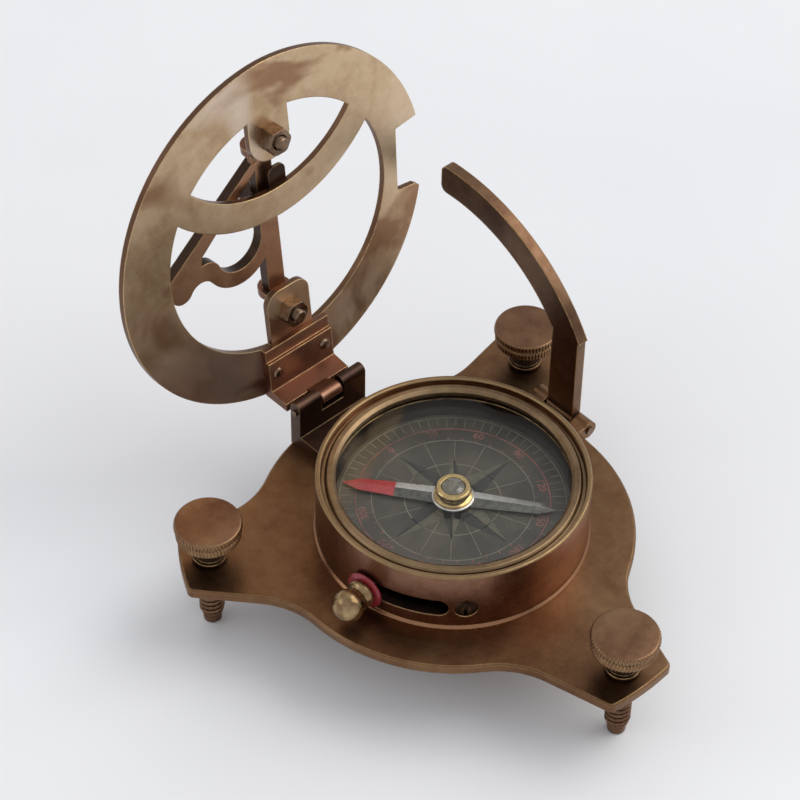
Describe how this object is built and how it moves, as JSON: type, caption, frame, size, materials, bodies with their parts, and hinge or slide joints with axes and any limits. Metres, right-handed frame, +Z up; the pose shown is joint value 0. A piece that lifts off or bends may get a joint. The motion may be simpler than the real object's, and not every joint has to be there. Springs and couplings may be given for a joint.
{
  "type": "sundial compass",
  "caption": "Pocket sundial compass: round glazed compass case on a three-armed levelling base, with a hinged hour ring, a fold-out gnomon, a latitude arc and a needle arrest lever.",
  "frame": {"origin": "on the compass needle's axis, in the plane the three levelling screws stand on", "axes": "+Z up along the needle's axis; +Y towards the hour ring's hinge; +X towards the latitude arc"},
  "size_m": [0.1022, 0.1177, 0.1033],
  "materials": {
    "plate_bronze": "brushed antique bronze brown with worn golden edges",
    "case_bronze": "satin coppery red-brown patina",
    "bezel_brass": "polished antique brass",
    "ring_brass": "brushed tan antique brass, lighter than the base",
    "leaf_copper": "brushed coppery brass",
    "block_bronze": "dark antique bronze",
    "gnomon_brass": "brushed coppery brass with dark edges",
    "arc_bronze": "dark patina with bright worn edges",
    "stud_brass": "threaded, satin",
    "knob_bronze": "turned and knurled, satin",
    "ball_brass": "polished",
    "screw_steel": "slotted screw head",
    "bolt_brass": "satin",
    "needle_steel": "polished silver",
    "needle_red": "gloss red paint",
    "cap_brass": "polished",
    "jewel_glass": "clear polished",
    "crystal": "clear flat glass",
    "dial_enamel": null,
    "washer_red": "matte red fibre",
    "inner_brass": "machined"
  },
  "bodies": {
    "base": {"base_plate": "plate_bronze", "case_screws": "screw_steel", "block_screws": "screw_steel", "compass_case": "case_bronze", "side_screw": "screw_steel", "glass": "crystal", "bezel_ring": "bezel_brass", "dial_card": "dial_enamel", "pivot_post": "inner_brass", "hinge_block": "block_bronze", "hinge_pin": "bolt_brass", "arc_pin": "bolt_brass"},
    "needle_unit": {"needle": "needle_steel", "needle_red_tip": "needle_red", "needle_cap": "cap_brass", "cap_jewel": "jewel_glass"},
    "arrest_unit": {"arrest_ring": "inner_brass", "lever_stem": "inner_brass", "lever_washer": "washer_red", "lever_knob": "ball_brass"},
    "lifter": {"needle_lifter": "inner_brass"},
    "ring_unit": {"hour_ring": "ring_brass", "ring_leaf": "leaf_copper", "leaf_rivets": "bolt_brass", "upper_bracket": "leaf_copper", "centre_bracket": "block_bronze", "lower_bracket": "leaf_copper", "bracket_bolts": "bolt_brass", "bracket_nuts": "bolt_brass", "gnomon_rod": "bolt_brass"},
    "gnomon_unit": {"gnomon": "gnomon_brass"},
    "arc_unit": {"latitude_arc": "arc_bronze"},
    "stud_right": {"leveling_stud_right": "stud_brass"},
    "knob_right": {"leveling_knob_right": "knob_bronze"},
    "stud_left": {"leveling_stud_left": "stud_brass"},
    "knob_left": {"leveling_knob_left": "knob_bronze"},
    "stud_front": {"leveling_stud_front": "stud_brass"},
    "knob_front": {"leveling_knob_front": "knob_bronze"}
  },
  "joints": [
    {"name": "ring_fold", "type": "hinge", "parent": "base", "child": "ring_unit", "pos_m": [0, 0.0374, 0.028], "axis": [1, 0, 0], "range_deg": [-8.5, 95.5]},
    {"name": "gnomon_fold", "type": "hinge", "parent": "ring_unit", "child": "gnomon_unit", "pos_m": [0, 0.05594, 0.06353], "axis": [0, -0.1132, -0.9936], "range_deg": [0, 90]},
    {"name": "arc_fold", "type": "hinge", "parent": "base", "child": "arc_unit", "pos_m": [0.0403, 0.0085, 0.0167], "axis": [0, 1, 0], "range_deg": [0, 90]},
    {"name": "needle_swing", "type": "hinge", "parent": "base", "child": "needle_unit", "pos_m": [0, 0, 0.0286], "axis": [0, 0, 1], "continuous": true},
    {"name": "lever_swing", "type": "hinge", "parent": "base", "child": "arrest_unit", "pos_m": [0, 0, 0.0215], "axis": [0, 0, 1], "range_deg": [0, 26]},
    {"name": "lifter_rise", "type": "slide", "parent": "base", "child": "lifter", "axis": [0, 0, 1], "range_m": [0, 0.0006]},
    {"name": "screw_rise_right", "type": "slide", "parent": "base", "child": "stud_right", "axis": [0, 0, 1], "range_m": [0, 0.003]},
    {"name": "knob_turn_right", "type": "hinge", "parent": "stud_right", "child": "knob_right", "pos_m": [0.04341, 0.02337, 0.0267], "axis": [0, 0, 1], "range_deg": [0, 865]},
    {"name": "screw_rise_left", "type": "slide", "parent": "base", "child": "stud_left", "axis": [0, 0, 1], "range_m": [0, 0.003]},
    {"name": "knob_turn_left", "type": "hinge", "parent": "stud_left", "child": "knob_left", "pos_m": [-0.04195, 0.02591, 0.0267], "axis": [0, 0, 1], "range_deg": [0, 865]},
    {"name": "screw_rise_front", "type": "slide", "parent": "base", "child": "stud_front", "axis": [0, 0, 1], "range_m": [0, 0.003]},
    {"name": "knob_turn_front", "type": "hinge", "parent": "stud_front", "child": "knob_front", "pos_m": [-0.00146, -0.04928, 0.0267], "axis": [0, 0, 1], "range_deg": [0, 865]}
  ],
  "couplings": [
    {"joint": "lifter_rise", "follows": "lever_swing", "m_per_rad": 0.001322},
    {"joint": "knob_turn_right", "follows": "screw_rise_right", "rad_per_m": 5026.5},
    {"joint": "knob_turn_left", "follows": "screw_rise_left", "rad_per_m": 5026.5},
    {"joint": "knob_turn_front", "follows": "screw_rise_front", "rad_per_m": 5026.5}
  ]
}
